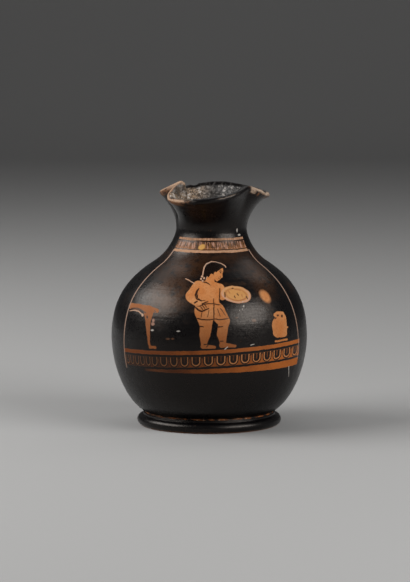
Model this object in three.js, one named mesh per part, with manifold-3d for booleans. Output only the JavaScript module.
// A chous: the squat wine jug of Athens, with a trefoil mouth, a ring foot and a low strap handle.
// The potter throws the wall in one piece, pinches its mouth into three lobes, and joins a turned
// foot and a pulled handle to it with clay slip.
// Millimetres, +Z up. The origin is the middle of the foot's resting face. The spout looks to -Y,
// the handle stands at +Y, and an angle round the jug runs from the front (-Y) towards +X.
import * as THREE from 'three';
import { mergeVertices } from 'three/addons/utils/BufferGeometryUtils.js';
import Module from 'manifold-3d';

const wasm = await Module();
wasm.setup();

// Sizes of the turned foot
const foot = {
  radius: 30.9, // widest, across the half-round moulding
  mouldingHeight: 4.4,
  collarHeight: 1, // the narrow collar above the moulding
  ledge: 2.6, // how far the moulding stands out from the collar
  collarStep: 0.5, // how far the collar stands out from the wall above it
  seatWidth: 6.2, // the flat ring that the wall is joined to
  restWidth: 4.9, // the flat ring that the jug stands on
};

// Sizes of the thrown wall. Each rise is measured from the place below it.
const belly = { radius: 42, rise: 32 }; // the widest place, above the seat
const shoulder = { radius: 24, rise: 32.4, slope: 33 }; // where the curve turns, above the belly
const neck = { radius: 15.2, rise: 13.8 }; // the narrowest place, above the shoulder
const wall = { floor: 4.2, base: 3.6, belly: 3, neck: 2.7, lip: 2.3 };
const dome = 0.9; // how far the underside is hollowed inside the foot
const lean = 1.2; // how far the mouth stands to the right of the foot

// Tangents of the outer curve, as shares of the straight way between the two places they join
const fullness = {
  baseSlope: 24, // degrees above the horizontal as the wall leaves the foot
  base: 0.22,
  bellyBelow: 0.4,
  bellyAbove: 0.445,
  shoulderBelow: 0.367,
  shoulderAbove: 0.4,
  neckBelow: 0.19,
  neckAbove: 0.27,
  lip: 0.36,
};

// The mouth: lobes reach out and dip, pinches draw in and rise. Angles go round from the front,
// rise is the lip's height above the neck, and lipAngle its slope above the horizontal. A higher
// crease makes a tighter fold. The broad valley at the handle has none.
const mouth = [
  { name: 'spout', at: -27, reach: 25.6, rise: 12.1, lipAngle: 38 },
  { name: 'right pinch', at: 50.6, reach: 20.3, rise: 17.6, lipAngle: 66, crease: 2 },
  { name: 'right lobe', at: 98, reach: 24, rise: 13.2, lipAngle: 24 },
  { name: 'handle valley', at: 168, reach: 17.8, rise: 17.4, lipAngle: 72 },
  { name: 'left lobe', at: 242, reach: 23.4, rise: 13.8, lipAngle: 44 },
  { name: 'left pinch', at: 281.25, reach: 14.2, rise: 19.2, lipAngle: 86, crease: 2.7 },
];
const foldRounding = 0.07; // share of the way to a lobe over which a fold is rounded

// Sizes of the pulled strap handle
const handle = {
  width: 10.6,
  thickness: 4.4,
  rib: 0.7, // how high the rib stands along its outer face
  ribSpread: 1.7, // how far the rib reaches to each side
  squareness: 0.8, // 1 is an oval strap, lower is squarer
  inset: 1.8, // how far its outer face stays inside the belly's widest line
  topRootDrop: 5.2, // below the lip at the back
  topRootSlope: 24, // degrees above the horizontal as it leaves the wall
  topRootWidth: 15,
  elbowDrop: 10.2, // from the upper root to where it turns straight down
  lowRootRise: 24.5, // above the belly's widest place
  lowRootWidth: 13,
  rootLength: 7.2, // along which it widens towards a root
};
const handleBends = { leaving: 11, overTop: 11.5, pastElbow: 12, arriving: 6.5 };

// The slip that joins the pieces
const slip = {
  footThickness: 0.6,
  handleThickness: 0.7,
  clearance: 0.3,
  spread: 1.1, // how far it stands out round a handle root
};

// How finely the round forms are divided
const facets = { round: 64, lip: 4, moulding: 8, strapRound: 20, strapLength: 30 };
const outerRings = { base: 7, belly: 8, shoulder: 5, flare: 9 };
const innerRings = { base: 5, belly: 5, shoulder: 4, flare: 6 };

const degrees = Math.PI / 180;
const mix = (a, b, t) => a + (b - a) * t;
const smooth = (t) => THREE.MathUtils.smoothstep(t, 0, 1);
const at = (radius, height) => new THREE.Vector2(radius, height);
const polar = (length, angle) => at(length * Math.cos(angle * degrees), length * Math.sin(angle * degrees));

// Places worked out from the sizes
const footHeight = foot.mouldingHeight + foot.collarHeight;
const seatHeight = footHeight + slip.footThickness;
const collarRadius = foot.radius - foot.ledge;
const seatOuter = collarRadius - foot.collarStep;
const seatInner = seatOuter - foot.seatWidth;
const restInner = foot.radius - foot.mouldingHeight / 2 - foot.restWidth;
const seat = at(seatOuter, seatHeight);
const widest = at(belly.radius, seatHeight + belly.rise);
const turning = at(shoulder.radius, widest.y + shoulder.rise);
const narrowest = at(neck.radius, turning.y + neck.rise);
const highest = narrowest.y + Math.max(...mouth.map((station) => station.rise));

// Numbers from one to another in equal steps, both ends included
const steps = (from, to, count) => Array.from({ length: count + 1 }, (_, i) => mix(from, to, i / count));

// What the mouth does at an angle: where its lip is, and the lip's slope
function lipAt(angle) {
  const turn = THREE.MathUtils.euclideanModulo(angle - mouth[0].at, 360) + mouth[0].at;
  const round = [...mouth, { ...mouth[0], at: mouth[0].at + 360 }];
  const next = round.findIndex((station, i) => i > 0 && turn <= station.at);
  const way = (turn - round[next - 1].at) / (round[next].at - round[next - 1].at);
  // lobes are the even stations, so each stretch runs from a pinch or the valley out to a lobe
  const toLobe = next % 2 === 0;
  const [inner, lobe] = toLobe ? [round[next - 1], round[next]] : [round[next], round[next - 1]];
  const away = toLobe ? way : 1 - way;
  const swing = inner.crease ? 1 - (1 - roundedFold(away)) ** inner.crease : smooth(away);
  return {
    place: at(mix(inner.reach, lobe.reach, swing), narrowest.y + mix(inner.rise, lobe.rise, swing)),
    angle: mix(inner.lipAngle, lobe.lipAngle, swing),
  };
}

// 0 to 1 along a stretch of the mouth, with the sharp start of a fold rounded off
function roundedFold(t) {
  const from = (x) => Math.hypot(x, foldRounding) - foldRounding;
  return from(t) / from(1);
}

// A curve between two places, with the angle and the length of its tangent at each
function between(start, startAngle, startPull, end, endAngle, endPull, t) {
  const chord = start.distanceTo(end);
  const leaving = polar(startPull * chord, startAngle).add(start);
  const arriving = polar(-endPull * chord, endAngle).add(end);
  return new THREE.CubicBezierCurve(start, leaving, arriving, end).getPoint(t);
}

// Radius and height on the outer curve. Station 0 is the seat, 1 the belly's widest place,
// 2 the shoulder, 3 the neck's narrowest place and 4 the lip.
function outline(angle, station) {
  const stretch = Math.min(3, Math.floor(station));
  const turnSlope = 180 - shoulder.slope;
  const lip = lipAt(angle);
  const full = fullness;
  const stretches = [
    [seat, full.baseSlope, full.base, widest, 90, full.bellyBelow],
    [widest, 90, full.bellyAbove, turning, turnSlope, full.shoulderBelow],
    [turning, turnSlope, full.shoulderAbove, narrowest, 90, full.neckBelow],
    [narrowest, 90, full.neckAbove, lip.place, lip.angle, full.lip],
  ];
  return between(...stretches[stretch], station - stretch);
}

// The wall stands upright to its belly and leans from there on
const leanAt = (height) => lean * smooth((height - widest.y) / (highest - widest.y));

// A point at an angle round the jug
function around(angle, radius, height) {
  const a = angle * degrees;
  return new THREE.Vector3(radius * Math.sin(a) + leanAt(height), -radius * Math.cos(a), height);
}

function outerPoint(angle, station) {
  const place = outline(angle, station);
  return around(angle, place.x, place.y);
}

// The outward direction of the wall, square to its surface
function outwardAt(angle, station) {
  const [stationStep, angleStep] = [0.004, 0.5];
  const low = Math.max(0, station - stationStep);
  const high = Math.min(4, station + stationStep);
  const along = outerPoint(angle, high).sub(outerPoint(angle, low));
  const across = outerPoint(angle + angleStep, station).sub(outerPoint(angle - angleStep, station));
  return across.cross(along).normalize();
}

const offsetPoint = (angle, station, distance) =>
  outerPoint(angle, station).addScaledVector(outwardAt(angle, station), distance);

// The wall's thickness, thinning from the base to the lip
function wallAt(station) {
  if (station < 1) return mix(wall.base, wall.belly, smooth(station));
  if (station < 3) return mix(wall.belly, wall.neck, smooth((station - 1) / 2));
  return mix(wall.neck, wall.lip, smooth(station - 3));
}

// Stations up the wall, from the seat to the lip, both ends included
function stationsUp(rings) {
  return [
    ...steps(0, 1, rings.base),
    ...steps(1, 2, rings.belly).slice(1),
    ...steps(2, 3, rings.shoulder).slice(1),
    ...steps(3, 4, rings.flare).slice(1),
  ];
}

const ringAngles = steps(0, 360, facets.round).slice(0, -1);
const flatRing = (radius, height) => ringAngles.map((angle) => around(angle, radius, height));

// A closed skin from a point, through rings with the same count of points, to a point
function skin(firstPole, rings, lastPole) {
  const count = rings[0].length;
  const points = [firstPole, ...rings.flat(), lastPole];
  const vertex = (ring, i) => 1 + ring * count + (i % count);
  const index = [];
  for (let i = 0; i < count; i++) {
    index.push(0, vertex(0, i + 1), vertex(0, i));
    for (let r = 0; r + 1 < rings.length; r++) {
      index.push(vertex(r, i), vertex(r, i + 1), vertex(r + 1, i + 1));
      index.push(vertex(r, i), vertex(r + 1, i + 1), vertex(r + 1, i));
    }
    index.push(vertex(rings.length - 1, i), vertex(rings.length - 1, i + 1), points.length - 1);
  }
  return new THREE.BufferGeometry().setFromPoints(points).setIndex(index);
}

// The solid of a closed geometry, for joining and cutting
function solidOf(geometry) {
  const merged = mergeVertices(geometry);
  const vertProperties = merged.attributes.position.array;
  const triVerts = new Uint32Array(merged.index.array);
  return new wasm.Manifold(new wasm.Mesh({ numProp: 3, vertProperties, triVerts }));
}

function geometryOf(solid) {
  const made = solid.getMesh();
  const geometry = new THREE.BufferGeometry();
  geometry.setAttribute('position', new THREE.BufferAttribute(new Float32Array(made.vertProperties), 3));
  geometry.setIndex(new THREE.BufferAttribute(new Uint32Array(made.triVerts), 1));
  return geometry;
}

// The lip's rounding: half a turn from the outer face over to the inner one
function lipRings() {
  const half = wall.lip / 2;
  const justBelow = 3.99;
  return steps(0, 180, facets.lip).slice(1).map((turn) =>
    ringAngles.map((angle) => {
      const edge = outerPoint(angle, 4);
      const rise = edge.clone().sub(outerPoint(angle, justBelow)).normalize();
      const over = polar(half, turn);
      return edge.addScaledVector(outwardAt(angle, 4), over.x - half).addScaledVector(rise, over.y);
    }),
  );
}

// The thrown wall: floor, belly, neck and trefoil mouth in one piece, open at the top
function bodyGeometry() {
  const outer = stationsUp(outerRings).map((s) => ringAngles.map((angle) => outerPoint(angle, s)));
  const innerStations = stationsUp(innerRings).reverse().slice(1);
  const inner = innerStations.map((s) => ringAngles.map((angle) => offsetPoint(angle, s, -wallAt(s))));
  const undersideTop = seatHeight + dome;
  const floorTop = undersideTop + wall.floor;
  const floorEdge = inner[inner.length - 1][0];
  // a shallow dish, halfway out from its middle
  const halfway = (middleHeight, edgeHeight) => mix(middleHeight, edgeHeight, 0.5 ** 2);
  const underside = flatRing(seatInner / 2, halfway(undersideTop, seatHeight));
  const floor = flatRing(-floorEdge.y / 2, halfway(floorTop, floorEdge.z));
  return skin(
    around(0, 0, undersideTop),
    [underside, flatRing(seatInner, seatHeight), ...outer, ...lipRings(), ...inner, floor],
    around(0, 0, floorTop),
  );
}

// The jug's outside as a filled solid, grown by a distance and carried straight up above the lip:
// what a joined piece is cut back to
function filledJug(growth) {
  const rings = stationsUp(outerRings).map((s) => ringAngles.map((angle) => offsetPoint(angle, s, growth)));
  const top = highest + handle.thickness;
  const collar = rings[rings.length - 1].map((p) => new THREE.Vector3(p.x, p.y, top));
  return solidOf(skin(around(0, 0, seatHeight), [...rings, collar], around(0, 0, top)));
}

// A profile of radius and height turned about +Z, with a facet corner at the front
function uprightLathe(profile) {
  const geometry = new THREE.LatheGeometry(profile, facets.round);
  geometry.rotateX(Math.PI / 2);
  return geometry;
}

// The foot: a half-round moulding under a narrow collar, hollowed inside
function footGeometry() {
  const half = foot.mouldingHeight / 2;
  const middle = at(foot.radius - half, half);
  const moulding = steps(-90, 90, facets.moulding).map((turn) => polar(half, turn).add(middle));
  return uprightLathe([
    at(restInner, 0),
    ...moulding,
    at(collarRadius, foot.mouldingHeight),
    at(collarRadius, footHeight),
    at(seatInner, footHeight),
    at(restInner, 0),
  ]);
}

// The ring of slip between foot and wall. Its edge shows as a thin clay-red line.
function footSlipGeometry() {
  const inner = seatInner + slip.clearance;
  const outer = seatOuter - slip.clearance;
  return uprightLathe([
    at(inner, footHeight),
    at(outer, footHeight),
    at(outer, seatHeight),
    at(inner, seatHeight),
    at(inner, footHeight),
  ]);
}

// The back of the wall at a height: how far it is from the axis, and its outward direction
function backWallAt(height) {
  const halvings = 40;
  let [low, high] = [1, 4];
  for (let i = 0; i < halvings; i++) {
    const middle = (low + high) / 2;
    if (outline(180, middle).y < height) low = middle;
    else high = middle;
  }
  const outward = outwardAt(180, low);
  return { place: outline(180, low), outward: at(outward.y, outward.z) };
}

// The handle's line in the plane behind the jug: out under the lip, over, and down on to the shoulder.
// It starts and ends inside the wall, and is cut back to it.
function handleLine() {
  const top = backWallAt(lipAt(180).place.y - handle.topRootDrop);
  const low = backWallAt(widest.y + handle.lowRootRise);
  const start = polar(-wall.neck, handle.topRootSlope).add(top.place);
  const middleReach = belly.radius - handle.inset - handle.rib - handle.thickness / 2;
  const elbow = at(middleReach, top.place.y - handle.elbowDrop);
  const end = low.place.clone().addScaledVector(low.outward, -wall.neck);
  const line = new THREE.CurvePath();
  line.add(new THREE.CubicBezierCurve(
    start,
    polar(handleBends.leaving, handle.topRootSlope).add(start),
    at(elbow.x, elbow.y + handleBends.overTop),
    elbow,
  ));
  line.add(new THREE.CubicBezierCurve(
    elbow,
    at(elbow.x, elbow.y - handleBends.pastElbow),
    end.clone().addScaledVector(low.outward, handleBends.arriving),
    end,
  ));
  return line;
}

// The strap swept along its line. spread makes it stouter all round, for the slip at its roots.
function handleSolid(spread) {
  const line = handleLine();
  const length = line.getLength();
  const nearRoot = (distance) => Math.exp(-((distance / handle.rootLength) ** 2));
  const rings = steps(0, 1, facets.strapLength).map((t) => {
    const place = line.getPointAt(t);
    const tangent = line.getTangentAt(t);
    const centre = new THREE.Vector3(leanAt(place.y), place.x, place.y);
    const inward = new THREE.Vector3(0, tangent.y, -tangent.x);
    const widened =
      handle.width +
      nearRoot(t * length) * (handle.topRootWidth - handle.width) +
      nearRoot((1 - t) * length) * (handle.lowRootWidth - handle.width);
    return steps(0, 360, facets.strapRound).slice(1).map((turn) => {
      const { x: c, y: s } = polar(1, turn);
      const across = (widened / 2 + spread) * Math.sign(c) * Math.abs(c) ** handle.squareness;
      const rib = s < 0 ? handle.rib * -s * Math.exp(-((across / handle.ribSpread) ** 2)) : 0;
      const depth = (handle.thickness / 2 + spread) * s - rib;
      return centre.clone().add(new THREE.Vector3(across, 0, 0)).addScaledVector(inward, depth);
    });
  });
  const sumOf = (ring) => ring.reduce((sum, point) => sum.add(point), new THREE.Vector3());
  const middleOf = (ring) => sumOf(ring).divideScalar(ring.length);
  return solidOf(skin(middleOf(rings[0]), rings, middleOf(rings[rings.length - 1])));
}

// The strap cut back to the wall, and the pads of slip under its two roots
function handleParts() {
  const padFrom = filledJug(slip.clearance);
  const padTo = filledJug(slip.clearance + slip.handleThickness);
  const strapFrom = filledJug(slip.clearance + slip.handleThickness + slip.clearance);
  const strap = handleSolid(0).subtract(strapFrom);
  const pads = handleSolid(slip.spread).intersect(padTo).subtract(padFrom).decompose();
  const [lowPad, topPad] = pads.sort((a, b) => a.boundingBox().max[2] - b.boundingBox().max[2]);
  return { strap, topPad, lowPad };
}

const blackGloss = new THREE.MeshStandardMaterial({ color: 0x14100e, roughness: 0.26, metalness: 0 });
const reservedClay = new THREE.MeshStandardMaterial({ color: 0xb8703c, roughness: 0.75, metalness: 0 });

function piece(name, geometry, material) {
  const mesh = new THREE.Mesh(geometry, material);
  mesh.name = name;
  return mesh;
}

const chous = new THREE.Group();
const { strap, topPad, lowPad } = handleParts();
chous.add(
  piece('body', bodyGeometry(), blackGloss),
  piece('foot', footGeometry(), blackGloss),
  piece('foot_slip', footSlipGeometry(), reservedClay),
  piece('handle', geometryOf(strap), blackGloss),
  piece('handle_rim_slip', geometryOf(topPad), blackGloss),
  piece('handle_belly_slip', geometryOf(lowPad), blackGloss),
);

export default chous;
